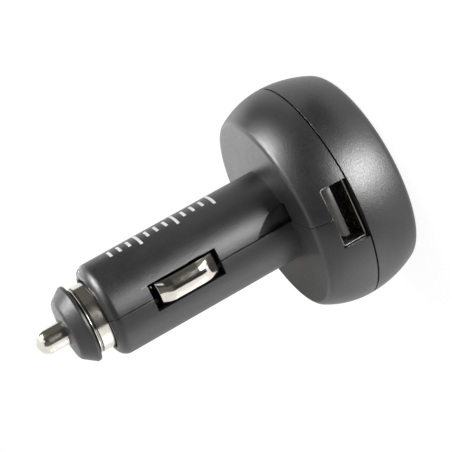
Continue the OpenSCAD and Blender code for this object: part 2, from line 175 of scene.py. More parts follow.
# USB socket
usb_sheet = 0.3
usb_corner_r = 0.5
usb_corner_share = 0.7
usb_ease = 0.07
tongue_t = 1.84
tongue_tip_t = 1.2
tongue_half_w = 5.55
tongue_taper = 3
tongue_root = 1
tongue_round = 0.22
block_t = 2.2
block_round = 0.12


# Mesh helpers
def plain_object(work, name):
    """An object of a bmesh that is in metres already."""
    mesh = bpy.data.meshes.new(name)
    work.to_mesh(mesh)
    work.free()
    piece = bpy.data.objects.new(name, mesh)
    bpy.context.scene.collection.objects.link(piece)
    return piece


def shade_smooth(mesh, angle=32):
    """Smooth shading but for edges sharper than an angle."""
    mesh.polygons.foreach_set("use_smooth", [True] * len(mesh.polygons))
    mesh.set_sharp_from_angle(angle=radians(angle))


def finish_mesh(work, name, smooth_angle=32):
    """Turns a bmesh in millimetres into an object in metres, with smooth shading."""
    bmesh.ops.recalc_face_normals(work, faces=work.faces)
    bmesh.ops.scale(work, vec=(MM, MM, MM), verts=work.verts)
    piece = plain_object(work, name)
    shade_smooth(piece.data, smooth_angle)
    return piece


def skin(work, near, far, closed=True):
    """Faces between two rows of as many vertices, which may close into loops."""
    faces = []
    for k in range(len(near) if closed else len(near) - 1):
        after = (k + 1) % len(near)
        faces.append(work.faces.new((near[k], near[after], far[after], far[k])))
    return faces


def tube(work, loops):
    """A solid through a row of closed loops of points, with a face over both ends."""
    rows = [[work.verts.new(point) for point in loop] for loop in loops]
    faces = [work.faces.new(rows[0]), work.faces.new(rows[-1])]
    for near, far in zip(rows, rows[1:]):
        faces += skin(work, near, far)
    return faces


def arc(centre, radius, start, end, steps=8):
    """Points of an arc in the half section, from one angle to another in degrees."""
    turns = [radians(start + (end - start) * i / steps) for i in range(steps + 1)]
    return [(centre[0] + radius * cos(t), centre[1] + radius * sin(t)) for t in turns]


def divided(profile, longest=3.0):
    """The same closed half section with extra points along its long straight runs."""
    points = []
    for (r0, z0), (r1, z1) in zip(profile, profile[1:] + profile[:1]):
        parts = max(1, ceil(hypot(r1 - r0, z1 - z0) / longest))
        points += [(r0 + (r1 - r0) * i / parts, z0 + (z1 - z0) * i / parts) for i in range(parts)]
    return points


def lathe(profile, steps=192):
    """A closed half section of (radius, height) points, turned round the axis."""
    profile = divided(profile)
    work = bmesh.new()
    rings = []
    for step in range(steps):
        turn = 2 * pi * step / steps
        rings.append([work.verts.new((r * cos(turn), r * sin(turn), z)) for r, z in profile])
    for here, there in zip(rings, rings[1:] + rings[:1]):
        skin(work, here, there)
    bmesh.ops.remove_doubles(work, verts=work.verts, dist=1e-5)
    bmesh.ops.dissolve_degenerate(work, edges=work.edges, dist=1e-6)
    return work


def add_block(work, corner, opposite):
    """A plain block between two corners, in a bmesh that is a cutter or gets its own bevel."""
    middle = [(a + b) / 2 for a, b in zip(corner, opposite)]
    size = [abs(b - a) for a, b in zip(corner, opposite)]
    place = Matrix.Translation(middle) @ Matrix.Diagonal((*size, 1))
    return bmesh.ops.create_cube(work, size=1, matrix=place)["verts"]


def rounded_block(work, corner, opposite, radius, segments=2):
    """A block with every edge rounded."""
    verts = add_block(work, corner, opposite)
    edges = list({edge for vert in verts for edge in vert.link_edges})
    bmesh.ops.bevel(work, geom=edges, offset=radius, segments=segments, affect="EDGES",
                    profile=0.5)


def apply_modifiers(piece):
    graph = bpy.context.evaluated_depsgraph_get()
    mesh = bpy.data.meshes.new_from_object(piece.evaluated_get(graph))
    piece.modifiers.clear()
    old = piece.data
    piece.data = mesh
    bpy.data.meshes.remove(old)


def combine(piece, work, operation="DIFFERENCE"):
    """Cuts a piece by a bmesh in millimetres, joins it on or keeps what lies in it."""
    tool = finish_mesh(work, "tool")
    step = piece.modifiers.new("cut", "BOOLEAN")
    step.operation = operation
    step.solver = "MANIFOLD"
    step.object = tool
    apply_modifiers(piece)
    bpy.data.objects.remove(tool)


def soften(piece, width, angle=40, segments=3):
    """Small rounding of edges sharper than an angle, with the wide faces kept even."""
    step = piece.modifiers.new("edge", "BEVEL")
    step.width = width * MM
    step.segments = segments
    step.limit_method = "ANGLE"
    step.angle_limit = radians(angle)
    step.use_clamp_overlap = False
    apply_modifiers(piece)
    shade_smooth(piece.data)
    even = piece.modifiers.new("even", "WEIGHTED_NORMAL")
    even.keep_sharp = True
    even.weight = 100
    apply_modifiers(piece)


# Material helpers
class Nodes:
    """The node tree of a material or a world, with short ways to fill it."""

    def __init__(self, owner, cleared=True):
        owner.use_nodes = True
        self.tree = owner.node_tree
        if cleared:
            self.tree.nodes.clear()

    def add(self, kind, **values):
        node = self.tree.nodes.new(kind)
        for name, value in values.items():
            setattr(node, name, value)
        return node

    def link(self, source, target):
        self.tree.links.new(source, target)

    def total(self, first, second, operation="ADD"):
        node = self.add("ShaderNodeMath", operation=operation)
        for value, socket in ((first, node.inputs[0]), (second, node.inputs[1])):
            if isinstance(value, float):
                socket.default_value = value
            else:
                self.link(value, socket)
        return node.outputs["Value"]

    def seen_by(self, *kinds):
        """One for rays of the named kinds and zero for the others."""
        rays = self.add("ShaderNodeLightPath")
        seen = rays.outputs[f"Is {kinds[0]} Ray"]
        for kind in kinds[1:]:
            seen = self.total(seen, rays.outputs[f"Is {kind} Ray"], "MAXIMUM")
        return seen

    def glow(self, kind, colour, strength=1.0):
        """A surface or a background that gives light."""
        node = self.add(kind)
        node.inputs["Color"].default_value = (*colour, 1)
        node.inputs["Strength"].default_value = strength
        return node.outputs[0]

    def mixed(self, share, first, second):
        """Mixes two shaders."""
        node = self.add("ShaderNodeMixShader")
        self.link(share, node.inputs["Fac"])
        self.link(first, node.inputs[1])
        self.link(second, node.inputs[2])
        return node.outputs[0]

    def end(self, kind, shader):
        self.link(shader, self.add(kind).inputs["Surface"])


class Shader(Nodes):
    """A Principled material and the node tree behind it."""

    def __init__(self, name):
        self.material = bpy.data.materials.new(name)
        super().__init__(self.material, cleared=False)
        self.surface = self.tree.nodes["Principled BSDF"]
        self.place = self.add("ShaderNodeTexCoord").outputs["Object"]

    def noise(self, size, detail=3.0, roughness=0.5, stretch=(1, 1, 1)):
        """Noise with features of about a size in millimetres, stretched along an axis."""
        spread = self.add("ShaderNodeMapping")
        spread.inputs["Scale"].default_value = stretch
        self.link(self.place, spread.inputs["Vector"])
        node = self.add("ShaderNodeTexNoise")
        node.inputs["Scale"].default_value = 1 / (size * MM)
        node.inputs["Detail"].default_value = detail
        node.inputs["Roughness"].default_value = roughness
        self.link(spread.outputs["Vector"], node.inputs["Vector"])
        return node.outputs["Fac"]

    def spread(self, value, low, high, start=0.3, end=0.7):
        """Maps a value between start and end onto a range."""
        node = self.add("ShaderNodeMapRange")
        node.inputs["From Min"].default_value = start
        node.inputs["From Max"].default_value = end
        node.inputs["To Min"].default_value = low
        node.inputs["To Max"].default_value = high
        self.link(value, node.inputs["Value"])
        return node.outputs["Result"]

    def blend(self, factor, first, second):
        """Mixes two colours, or the links that carry them."""
        node = self.add("ShaderNodeMix", data_type="RGBA")
        self.link(factor, node.inputs["Factor"])
        for value, socket in ((first, node.inputs[6]), (second, node.inputs[7])):
            if isinstance(value, tuple):
                socket.default_value = (*value, 1)
            else:
                self.link(value, socket)
        return node.outputs[2]

    def edges(self, reach):
        """A mask that is light along sharp edges, as far as they are rubbed."""
        rounded = self.add("ShaderNodeBevel", samples=4)
        rounded.inputs["Radius"].default_value = reach * MM
        true = self.add("ShaderNodeNewGeometry")
        along = self.add("ShaderNodeVectorMath", operation="DOT_PRODUCT")
        self.link(rounded.outputs["Normal"], along.inputs[0])
        self.link(true.outputs["Normal"], along.inputs[1])
        return self.spread(along.outputs["Value"], 1.0, 0.0, 0.8, 0.99)

    def open_air(self, reach):
        """A mask that is light in the open and dark in narrow corners, for painted shade."""
        node = self.add("ShaderNodeAmbientOcclusion", samples=8)
        node.inputs["Distance"].default_value = reach * MM
        return self.spread(node.outputs["AO"], 0.0, 1.0, 0.3, 0.72)

    def beyond(self, radius, fade):
        """A mask that is light outside a radius round the axis of the plug, in millimetres."""
        across = self.add("ShaderNodeVectorMath", operation="MULTIPLY")
        across.inputs[1].default_value = (1, 1, 0)
        self.link(self.place, across.inputs[0])
        length = self.add("ShaderNodeVectorMath", operation="LENGTH")
        self.link(across.outputs["Vector"], length.inputs[0])
        return self.spread(length.outputs["Value"], 0.0, 1.0, (radius - fade) * MM, radius * MM)

    def bump(self, height, depth, strength=1.0):
        node = self.add("ShaderNodeBump")
        node.inputs["Strength"].default_value = strength
        node.inputs["Distance"].default_value = depth * MM
        self.link(height, node.inputs["Height"])
        self.link(node.outputs["Normal"], self.surface.inputs["Normal"])

    def put(self, name, value):
        """A plain number or colour goes on the socket itself, anything else is linked."""
        socket = self.surface.inputs[name]
        if isinstance(value, (int, float)):
            socket.default_value = value
        elif isinstance(value, tuple):
            socket.default_value = (*value, 1)
        else:
            self.link(value, socket)


NICKEL_TONES = ((0.80, 0.77, 0.71), (0.72, 0.68, 0.61))
SPECK_TONE = (0.55, 0.47, 0.38)
# Painted shade: the dark tone laid on nickel in narrow corners and recesses
CORNER_SHADE_TONE = (0.02, 0.018, 0.015)
# Painted shade: the dark tone of metal that lies below a given radius, deep in the barrel
DEEP_SHADE_TONE = (0.012, 0.011, 0.01)


def moulded_plastic(name, colour, gloss=0.4, grain=0.33, depth=0.038, specular=0.7):
    """Satin plastic: fine spark-eroded grain, cloudy gloss, edges rubbed a little lighter."""
    shader = Shader(name)
    pale = tuple(min(1, c * 1.35 + 0.006) for c in colour)
    deep = tuple(c * 0.85 for c in colour)
    cloud = shader.noise(9, 4)
    fine = shader.noise(grain, 3, 0.6)
    base = shader.blend(shader.spread(cloud, 0, 1), deep, colour)
    worn = shader.total(shader.edges(0.12), shader.spread(shader.noise(1.5), 0, 1), "MULTIPLY")
    shader.put("Base Color", shader.blend(worn, base, pale))
    shader.put("Roughness", shader.total(
        shader.spread(cloud, gloss - 0.03, gloss + 0.03),
        shader.spread(fine, -0.06, 0.06)))
    shader.put("Specular IOR Level", specular)
    shader.bump(fine, depth)
    return shader.material


def nickel(name, turned=False, gloss=0.13, shine=1.0, shade_reach=1.6, shaded_below_r=None):
    """Bright nickel plate: a warm tint, faint haze, and rings where it was turned.

    Painted shade darkens the colour in corners narrower than its reach, and where a radius is
    given, the metal below it is painted dark as shade, so that only a contact's crest shows
    bright.
    """
    shader = Shader(name)
    haze = shader.noise(2.5, 4)
    stretch = (0.05, 0.05, 1) if turned else (1, 1, 0.08)
    lines = shader.noise(0.12, 2, 0.5, stretch)
    specks = shader.noise(0.3, 2)
    bright, dull = (tuple(c * shine for c in tone) for tone in NICKEL_TONES)
    tint = shader.blend(shader.spread(haze, 0, 1), bright, dull)
    worn = shader.blend(shader.spread(specks, 0, 0.4, 0.55, 0.75), tint, SPECK_TONE)
    # Painted shade: the colour darkens in corners narrower than the reach
    colour = shader.blend(shader.open_air(shade_reach), CORNER_SHADE_TONE, worn)
    # Painted shade: below the given radius the sheet is dark, as where it lies deep in the barrel
    if shaded_below_r:
        colour = shader.blend(shader.beyond(shaded_below_r, 0.15), DEEP_SHADE_TONE, colour)
    shader.put("Base Color", colour)
    shader.put("Metallic", 1.0)
    shader.put("Roughness", shader.total(
        shader.spread(haze, gloss - 0.03, gloss + 0.05),
        shader.spread(lines, -0.02, 0.03)))
    shader.bump(shader.total(lines, specks), 0.0015)
    return shader.material


def circuit_green(name):
    """Solder mask over copper: traces show as a slightly raised, paler net."""
    shader = Shader(name)
    net = shader.add("ShaderNodeTexBrick")
    net.inputs["Scale"].default_value = 1 / (3 * MM)
    net.inputs["Mortar Size"].default_value = 0.08
    shader.link(shader.place, net.inputs["Vector"])
    cloud = shader.noise(4)
    mask = shader.blend(shader.spread(cloud, 0, 1), (0.006, 0.035, 0.016), (0.009, 0.05, 0.022))
    shader.put("Base Color", shader.blend(net.outputs["Fac"], mask, (0.015, 0.08, 0.035)))
    shader.put("Roughness", shader.spread(cloud, 0.28, 0.42))
    shader.bump(net.outputs["Fac"], 0.03)
    return shader.material


def gold(name):
    shader = Shader(name)
    haze = shader.noise(0.8)
    shader.put("Base Color", shader.blend(shader.spread(haze, 0, 1), (0.9, 0.62, 0.25),
                                          (0.8, 0.5, 0.18)))
    shader.put("Metallic", 1.0)
    shader.put("Roughness", shader.spread(haze, 0.18, 0.32))
    shader.bump(shader.noise(0.1), 0.001)
    return shader.material


def copper(name, wire=0.25):
    """Enamelled wire wound across Y."""
    shader = Shader(name)
    turns = shader.add("ShaderNodeTexWave", bands_direction="Y", wave_profile="SIN")
    turns.inputs["Scale"].default_value = 1 / (wire * MM) / 3.2
    turns.inputs["Distortion"].default_value = 0.4
    shader.link(shader.place, turns.inputs["Vector"])
    shader.put("Base Color", shader.blend(turns.outputs["Fac"], (0.2, 0.06, 0.02),
                                          (0.75, 0.3, 0.1)))
    shader.put("Metallic", 0.7)
    shader.put("Roughness", shader.spread(shader.noise(0.5), 0.25, 0.4))
    shader.bump(turns.outputs["Fac"], 0.08)
    return shader.material


def spring_steel(name):
    shader = Shader(name)
    drawn = shader.noise(0.15, 3, 0.6)
    shader.put("Base Color", shader.blend(drawn, (0.42, 0.42, 0.43), (0.66, 0.65, 0.64)))
    shader.put("Metallic", 1.0)
    shader.put("Roughness", shader.spread(drawn, 0.22, 0.38))
    shader.bump(drawn, 0.002)
    return shader.material


def ferrite(name):
    shader = Shader(name)
    grains = shader.noise(0.2, 4, 0.7)
    shader.put("Base Color", shader.blend(grains, (0.025, 0.025, 0.028), (0.07, 0.07, 0.075)))
    shader.put("Roughness", shader.spread(grains, 0.5, 0.7))
    shader.bump(grains, 0.02)
    return shader.material


def clear_glass(name):
    """Fuse glass, with a faint green cast and drawn streaks."""
    shader = Shader(name)
    streaks = shader.noise(1.0, 2, 0.5, (1, 1, 0.1))
    shader.put("Base Color", shader.blend(streaks, (0.93, 0.97, 0.95), (0.97, 0.99, 0.98)))
    shader.put("Roughness", shader.spread(streaks, 0.02, 0.05))
    shader.put("Transmission Weight", 1.0)
    shader.put("IOR", 1.5)
    shader.bump(streaks, 0.004, 0.3)
    return shader.material


def smoked_glass(name):
    """Red-smoked acrylic of the display, with a few hairline scuffs."""
    shader = Shader(name)
    streaks = shader.noise(3.0, 5, 0.6, (1, 0.25, 1))
    shader.put("Base Color", shader.blend(streaks, (0.42, 0.2, 0.2), (0.48, 0.24, 0.23)))
    shader.put("Roughness", shader.spread(streaks, 0.03, 0.09))
    shader.put("Transmission Weight", 1.0)
    shader.put("IOR", 1.49)
    shader.bump(streaks, 0.002, 0.4)
    return shader.material


def print_white(name):
    """Pad-printed ink, a little broken where it sits on the grain."""
    shader = Shader(name)
    wear = shader.noise(0.2, 3, 0.6)
    shader.put("Base Color", shader.blend(shader.spread(wear, 0, 1, 0.3, 0.55),
                                          (0.55, 0.55, 0.55), (0.86, 0.86, 0.85)))
    shader.put("Roughness", shader.spread(wear, 0.45, 0.65))
    shader.bump(wear, 0.004)
    return shader.material


MATERIALS = {
    "shell_plastic": moulded_plastic("shell_plastic", (0.009, 0.009, 0.0098)),
    "smoked_window": smoked_glass("smoked_window"),
    "nickel": nickel("nickel"),
    "turned_nickel": nickel("turned_nickel", turned=True, gloss=0.16, shade_reach=3.2),
    # Painted shade: the contact sheet is dark below 8.52 mm, so only its crest shows bright
    "rubbed_nickel": nickel("rubbed_nickel", gloss=0.08, shade_reach=0.3, shaded_below_r=8.52),
    "tin_shell": nickel("tin_shell", gloss=0.26, shine=0.6, shade_reach=0.6),
    "board_green": circuit_green("board_green"),
    "black_resin": moulded_plastic("black_resin", (0.03, 0.03, 0.032),
                                   gloss=0.42, grain=0.1, depth=0.003),
    "insert_plastic": moulded_plastic("insert_plastic", (0.15, 0.15, 0.15),
                                      gloss=0.34, grain=0.1, depth=0.003, specular=0.5),
    "segment": moulded_plastic("segment", (0.42, 0.4, 0.39), gloss=0.5, grain=0.2, depth=0.002),
    "gold_contact": gold("gold_contact"),
    "can_sleeve": moulded_plastic("can_sleeve", (0.02, 0.025, 0.06),
                                  gloss=0.2, grain=0.6, depth=0.002),
    "ferrite": ferrite("ferrite"),
    "copper_wire": copper("copper_wire"),
    "spring_steel": spring_steel("spring_steel"),
    "fuse_glass": clear_glass("fuse_glass"),
    "print_white": print_white("print_white"),
}


def dress(piece, finish, body, *stands_for):
    """Gives a piece its finish, its body and the CAD nodes that it stands for."""
    piece.data.materials.clear()
    piece.data.materials.append(MATERIALS[finish])
    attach(piece, body)
    if stands_for:
        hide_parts(*stands_for)


# Front cap with its window seat
def make_front_cap():
    reach = head_r - cap_front_round
    fillet_z = cap_front_round
    fillet_x = sqrt(reach ** 2 - (seam_z - fillet_z) ** 2)
    meet = degrees(atan2(fillet_z - seam_z, fillet_x))
    hole_r = lens_r - lens_ledge
    seat_r = lens_r + lens_gap
    seat_z = lens_high.z
    rebate_r = lip_out_r + lens_gap
    rebate_z = lip_low_z - lens_gap
    ease = 0.15
    profile = [(hole_r, front_wall), (hole_r, seat_z + ease), (hole_r + ease, seat_z),
               (seat_r, seat_z)]
    profile += arc((seat_r + ease, ease), ease, 180, 270, 4)
    profile += arc((fillet_x, fillet_z), cap_front_round, 270, 360 + meet, 14)
    profile += arc((0, seam_z), head_r, meet, -degrees(asin(seam_round / head_r)) - seam_turn, 22)
    profile += arc((head_r - seam_round, seam_z - seam_round), seam_round, 0, 90, 4)
    profile += [(rebate_r, seam_z), (rebate_r, rebate_z), (cap_inner_r, rebate_z),
                (cap_inner_r, front_wall)]
    piece = finish_mesh(lathe(profile, steps=256), "cap_moulding")
    dress(piece, "shell_plastic", "housing", "front_cap")


def rear_profile():
    """Half section of both rear shells, outside and inside, before they are parted."""
    centre_x = head_r - bulge_r
    reach = bulge_r - rear_round
    fillet_z = rear_z - rear_round
    fillet_x = centre_x + sqrt(reach ** 2 - (fillet_z - seam_z) ** 2)
    meet = degrees(atan2(fillet_z - seam_z, fillet_x - centre_x))
    start_z = seam_z + seam_gap
    start = degrees(asin((seam_gap + seam_round) / bulge_r)) + seam_turn
    outside = arc((head_r - seam_round, start_z + seam_round), seam_round, 270, 360, 4)
    outside += arc((centre_x, seam_z), bulge_r, start, meet, 26)
    outside += arc((fillet_x, fillet_z), rear_round, meet, 90, 8)
    outside += [(barrel_r, rear_z)]
    end = barrel_end_z - barrel_round
    outside += arc((barrel_r - barrel_round, end), barrel_round, 0, 90, 14)
    dish_z = barrel_end_z - dish_depth
    outside += arc((dish_r, barrel_end_z - dish_round), dish_round, 90, 180, 4)
    outside += [(dish_r - dish_round, dish_z)]
    flange_top = dish_z - web_t
    flange_low = flange_top - 2 * web_gap - web_t
    rear_web_z = flange_low - web_t
    wall_z = rear_z - head_wall
    inner_bulge = bulge_r - head_wall
    top_turn = degrees(asin((wall_z - seam_z) / inner_bulge))
    inside = [(collar_hole_r, dish_z), (collar_hole_r, flange_top), (bore_r, flange_top),
              (bore_r, flange_low), (collar_hole_r, flange_low), (collar_hole_r, rear_web_z),
              (bore_r, rear_web_z), (bore_r, wall_z)]
    lip_turn = degrees(asin((lip_high_z - seam_z) / inner_bulge))
    inside += arc((centre_x, seam_z), inner_bulge, top_turn, lip_turn, 12)
    lip_in_r = lip_out_r - lip_t
    inside += [(lip_in_r, lip_high_z), (lip_in_r, lip_low_z), (lip_out_r, lip_low_z),
               (lip_out_r, start_z)]
    return outside + inside


def make_rear_shell(name, side, node):
    """One of the two rear shells, on the +Y or the -Y side of the parting plane."""
    piece = finish_mesh(lathe(rear_profile(), steps=224), name)
    past = 2
    windows = bmesh.new()
    for turn in (0, pi):
        verts = add_block(windows, (bore_r - past, -window_w / 2, window_z),
                          (barrel_r + past, window_w / 2, window_z + window_len))
        bmesh.ops.rotate(windows, verts=verts, matrix=Matrix.Rotation(turn, 3, "Z"))
    combine(piece, windows)
    mouth = bmesh.new()
    add_block(mouth, (mouth_back_x, -mouth_w / 2, mouth_low_z),
              (head_r + past, mouth_w / 2, mouth_top_z))
    combine(piece, mouth)
    kept = bmesh.new()
    add_block(kept, (-2 * head_r, side * parting_gap / 2, 0),
              (2 * head_r, side * 2 * head_r, nose_high.z))
    combine(piece, kept, "INTERSECT")
    rib = bmesh.new()
    add_block(rib, (-rib_t / 2, side * rib_near_y, rib_low_z),
              (rib_t / 2, side * (bore_r + rib_lap), rib_high_z))
    combine(piece, rib, "UNION")
    if side > 0:
        combine(piece, scoop_cutter())
    soften(piece, mould_edge)
    dress(piece, "shell_plastic", "housing", node)


def scoop_cutter():
    """The round tool that leaves the finger scoop beside the parting line."""
    drop = (scoop_len ** 2 - scoop_w ** 2) / (2 * scoop_w)
    depth = barrel_r + scoop_past - scoop_floor_x
    middle = Matrix.Translation((scoop_floor_x + depth / 2, -drop, rear_z))
    work = bmesh.new()
    bmesh.ops.create_cone(work, cap_ends=True, segments=160, radius1=scoop_w + drop,
                          radius2=scoop_w + drop, depth=depth,
                          matrix=middle @ Matrix.Rotation(pi / 2, 4, "Y"))
    return work


# Collar, nose cap and centre pin
def make_collar():
    top = collar_high.z
    groove_high = top - bead_h
    groove_low = groove_high - groove_h
    flange_low = barrel_end_z - dish_depth - web_t - web_gap - web_t
    flange_high = flange_low + web_t
    ease = 0.08
    profile = [(collar_bore_r, collar_low.z), (collar_r, collar_low.z), (collar_r, flange_low),
               (collar_high.x, flange_low), (collar_high.x, flange_high), (collar_r, flange_high),
               (collar_r, groove_low - ease), (collar_r - ease, groove_low),
               (collar_r - groove_depth, groove_low), (collar_r - groove_depth, groove_high),
               (collar_r - bead_step - ease, groove_high)]
    profile += arc((collar_r - bead_inset, top - bead_r), bead_r, -40, 90, 8)
    profile += [(collar_bore_r + ease, top), (collar_bore_r, top - ease)]
    piece = finish_mesh(lathe(profile), "socket_collar")
    dress(piece, "turned_nickel", "housing", "collar")


def make_nose_cap():
    """The rim runs into a rounded shoulder and a front that slopes to the pin's hole."""
    rim_r = nose_high.x
    top = nose_high.z
    rim_z = collar_high.z + rim_gap
    edge_z = rim_z + rim_edge_h
    hole_r = pin_r + pin_gap
    peak = top + (hole_r + hole_round) * tan(nose_slope)
    middle_x = rim_r - shoulder_inset
    middle_z = peak - middle_x * tan(nose_slope) - shoulder_r / cos(nose_slope)
    run = hypot(shoulder_inset, middle_z - edge_z)
    lean = pi / 2 - atan2(middle_z - edge_z, shoulder_inset) - asin(shoulder_r / run)
    profile = [(spigot_r, nose_low.z), (spigot_r, rim_z)]
    profile += arc((rim_r - rim_round, rim_z + rim_round), rim_round, 270, 360, 8)
    profile += arc((rim_r - rim_round, edge_z - edge_drop), rim_round, 0, degrees(lean), 8)
    profile += arc((middle_x, middle_z), shoulder_r, degrees(lean), 90 - degrees(nose_slope), 14)
    profile += arc((hole_r + hole_round, top - hole_round), hole_round, 90, 180, 4)
    profile += [(hole_r, peak - nose_wall), (chamber_r, peak - nose_wall),
                (chamber_r, nose_low.z)]
    piece = finish_mesh(lathe(profile), "nose_moulding")
    dress(piece, "shell_plastic", "nose", "nose_cap")


def make_centre_pin():
    flange_top = pin_low.z + pin_flange_t
    flange_r = pin_high.x
    ease = 0.06
    profile = [(0, pin_low.z), (flange_r - ease, pin_low.z), (flange_r, pin_low.z + ease),
               (flange_r, flange_top - ease), (flange_r - ease, flange_top), (pin_r, flange_top)]
    profile += arc((0, pin_high.z - pin_r), pin_r, 0, 90, 20)
    piece = finish_mesh(lathe(profile, steps=128), "pin_turning")
    dress(piece, "turned_nickel", "pin_and_fuse", "centre_pin")


# Side contacts, pressed from sheet
def soft_min(a, b, reach):
    """The smaller of two heights, with a rounded corner where they cross."""
    mix = max(0.0, reach - abs(a - b)) / reach
    return min(a, b) - mix * mix * reach / 4


def leaf_section(inset):
    """Points across the contact, from one wall's foot over the crown to the other."""
    crown = leaf_crown_r - inset
    corner = leaf_corner_r - inset
    core = leaf_half_w - leaf_corner_r
    middle_x = leaf_top_x - leaf_crown_r
    turn = asin(core / (crown - corner))
    corner_x = middle_x + (crown - corner) * cos(turn)
    corner_steps, crown_steps = 8, 10
    side = [(leaf_low_x, -leaf_half_w + inset)]
    side += [(corner_x + corner * sin(t), -core - corner * cos(t))
             for t in ((pi / 2 - turn) * i / corner_steps for i in range(corner_steps + 1))]
    side += [(middle_x + crown * cos(t), crown * sin(t))
             for t in (turn * (i / crown_steps - 1) for i in range(1, crown_steps))]
    return side + [(leaf_top_x - inset, 0)] + [(x, -y) for x, y in reversed(side)]


def leaf_slope(z, inset):
    """Height of a sloping end and its steep foot at a distance from the middle of the contact."""
    crest, run = (leaf_crest_up, leaf_slope_up) if z > 0 else (leaf_crest_down, leaf_slope_down)
    flat = leaf_low_x + leaf_sheet - inset
    knee = leaf_top_x - leaf_drop - inset
    knee_z = crest + run - inset / 2
    slope = knee + (knee_z - abs(z)) * leaf_drop / (run - inset / 2)
    foot = knee + (knee_z - abs(z)) * (knee - flat) / leaf_foot_len
    return max(flat, soft_min(slope, foot, leaf_knee_round))


def leaf_skin(work, inset, lengths):
    """One side of the pressed sheet as rows of vertices along the contact.

    The section flattens towards the ends, and the crest is bowed a little.
    """
    top = leaf_top_x - inset
    rows = []
    for z in lengths:
        bowed = top - leaf_bow * (z / leaf_crest_down) ** 2
        ridge = soft_min(bowed, leaf_slope(z, inset), leaf_crest_round)
        share = (ridge - leaf_low_x) / (top - leaf_low_x)
        row = [work.verts.new((leaf_low_x + (x - leaf_low_x) * share, y, leaf_mid_z + z))
               for x, y in leaf_section(inset)]
        rows.append(row)
    for near, far in zip(rows, rows[1:]):
        skin(work, near, far, closed=False)
    return rows


def make_contact(name, turn, body, node):
    work = bmesh.new()
    up = leaf_crest_up + leaf_slope_up + leaf_foot_len
    down = leaf_crest_down + leaf_slope_down + leaf_foot_len
    count = 140
    lengths = [(up + down) * i / count - down for i in range(count + 1)]
    outer = leaf_skin(work, 0, lengths)
    inner = leaf_skin(work, leaf_sheet, lengths)
    for near, far in ((outer[0], inner[0]), (outer[-1], inner[-1]),
                      ([row[0] for row in outer], [row[0] for row in inner]),
                      ([row[-1] for row in outer], [row[-1] for row in inner])):
        skin(work, near, far, closed=False)
    for low_z, high_z in ((leaf_low.z, leaf_mid_z - down + tail_lap),
                          (leaf_mid_z + up - tail_lap, leaf_high.z)):
        rounded_block(work, (leaf_low_x, -leaf_tail_half_w, low_z),
                      (leaf_low_x + leaf_sheet, leaf_tail_half_w, high_z), tail_round)
    bmesh.ops.rotate(work, verts=work.verts, matrix=Matrix.Rotation(turn, 3, "Z"))
    piece = finish_mesh(work, name, 40)
    dress(piece, "rubbed_nickel", body, node)


# USB socket
def rounded_loop(half_w, half_h, radius, steps=5):
    """A rounded rectangle of (y, z) points about the middle."""
    points = []
    for corner, (sy, sz) in enumerate(((1, 1), (-1, 1), (-1, -1), (1, -1))):
        centre = (sy * (half_w - radius), sz * (half_h - radius))
        points += arc(centre, radius, 90 * corner, 90 * corner + 90, steps)
    return points


def make_usb_shield():
    """Folded tin shell with eased edges at its mouth."""
    mid_z = (usb_low.z + usb_high.z) / 2
    half_w = usb_high.y
    half_h = (usb_high.z - usb_low.z) / 2
    front, back = usb_high.x, usb_low.x
    stations = [(back, 0), (front - usb_ease, 0), (front, usb_ease),
                (front, usb_sheet - usb_ease), (front - usb_ease, usb_sheet), (back, usb_sheet)]
    work = bmesh.new()
    loops = []
    for x, depth in stations:
        corner = usb_corner_r - depth * usb_corner_share
        loop = rounded_loop(half_w - depth, half_h - depth, corner)
        loops.append([work.verts.new((x, y, mid_z + z)) for y, z in loop])
    for near, far in zip(loops, loops[1:] + loops[:1]):
        skin(work, near, far)
    piece = finish_mesh(work, "usb_shield", 40)
    dress(piece, "tin_shell", "housing", "usb_shell")


def make_usb_insert():
    """The insulating block at the back and the tongue that carries the contacts."""
    work = bmesh.new()
    block_front = tongue_low.x + block_t
    rounded_block(work, tuple(tongue_low), (block_front, tongue_high.y, tongue_high.z),
                  block_round)
    low_z = box_mm("usb_pin_1")[1].z
    high_z = low_z + tongue_t
    root_x = block_front - tongue_root
    outline = [(root_x, low_z), (tongue_high.x, low_z), (tongue_high.x, low_z + tongue_tip_t),
               (tongue_high.x - tongue_taper, high_z), (root_x, high_z)]
    faces = tube(work, [[(x, y, z) for x, z in outline] for y in (-tongue_half_w, tongue_half_w)])
    edges = list({edge for face in faces for edge in face.edges})
    bmesh.ops.recalc_face_normals(work, faces=faces)
    bmesh.ops.bevel(work, geom=edges, offset=tongue_round, segments=3, affect="EDGES",
                    profile=0.5)
    piece = finish_mesh(work, "usb_insert", 40)
    dress(piece, "insert_plastic", "housing", "usb_tongue")


# Display
def segment_outline(x, y, length, width, upright, lean):
    """The corners of one bar of a digit, with pointed ends."""
    half, point = length / 2, width / 2
    outline = [(-half, 0), (-half + point, point), (half - point, point), (half, 0),
               (half - point, -point), (-half + point, -point)]
    if upright:
        outline = [(b, a) for a, b in outline]
    return [(x + a - (y + b) * lean, y + b) for a, b in outline]


def make_digits():
    """Three unlit seven-segment digits, read from below with +Y upward."""
    pitch, wide, tall, bar, lean = 7.3, 4.3, 9.6, 1.0, 0.12
    bar_gap = 0.3
    dot_r, dot_step, dot_sides = 0.55, 1.3, 16
    lift, sink = 0.06, 0.09
    outlines = []
    for x in (-pitch, 0, pitch):
        for level in (-1, 0, 1):
            outlines.append(segment_outline(x, level * tall / 2, wide - bar_gap, bar, False, lean))
        for side in (-1, 1):
            for level in (-1, 1):
                outlines.append(segment_outline(x + side * wide / 2, level * tall / 4,
                                                tall / 2 - bar_gap, bar, True, lean))
        dot_x = x - wide / 2 - dot_step + tall / 2 * lean
        outlines.append(arc((dot_x, -tall / 2), dot_r, 0, 360, dot_sides)[:-1])
    work = bmesh.new()
    for outline in outlines:
        tube(work, [[(x, y, z) for x, y in outline]
                    for z in (digit_low.z - lift, digit_low.z + sink)])
    piece = finish_mesh(work, "display_segments", 20)
    dress(piece, "segment", "housing")


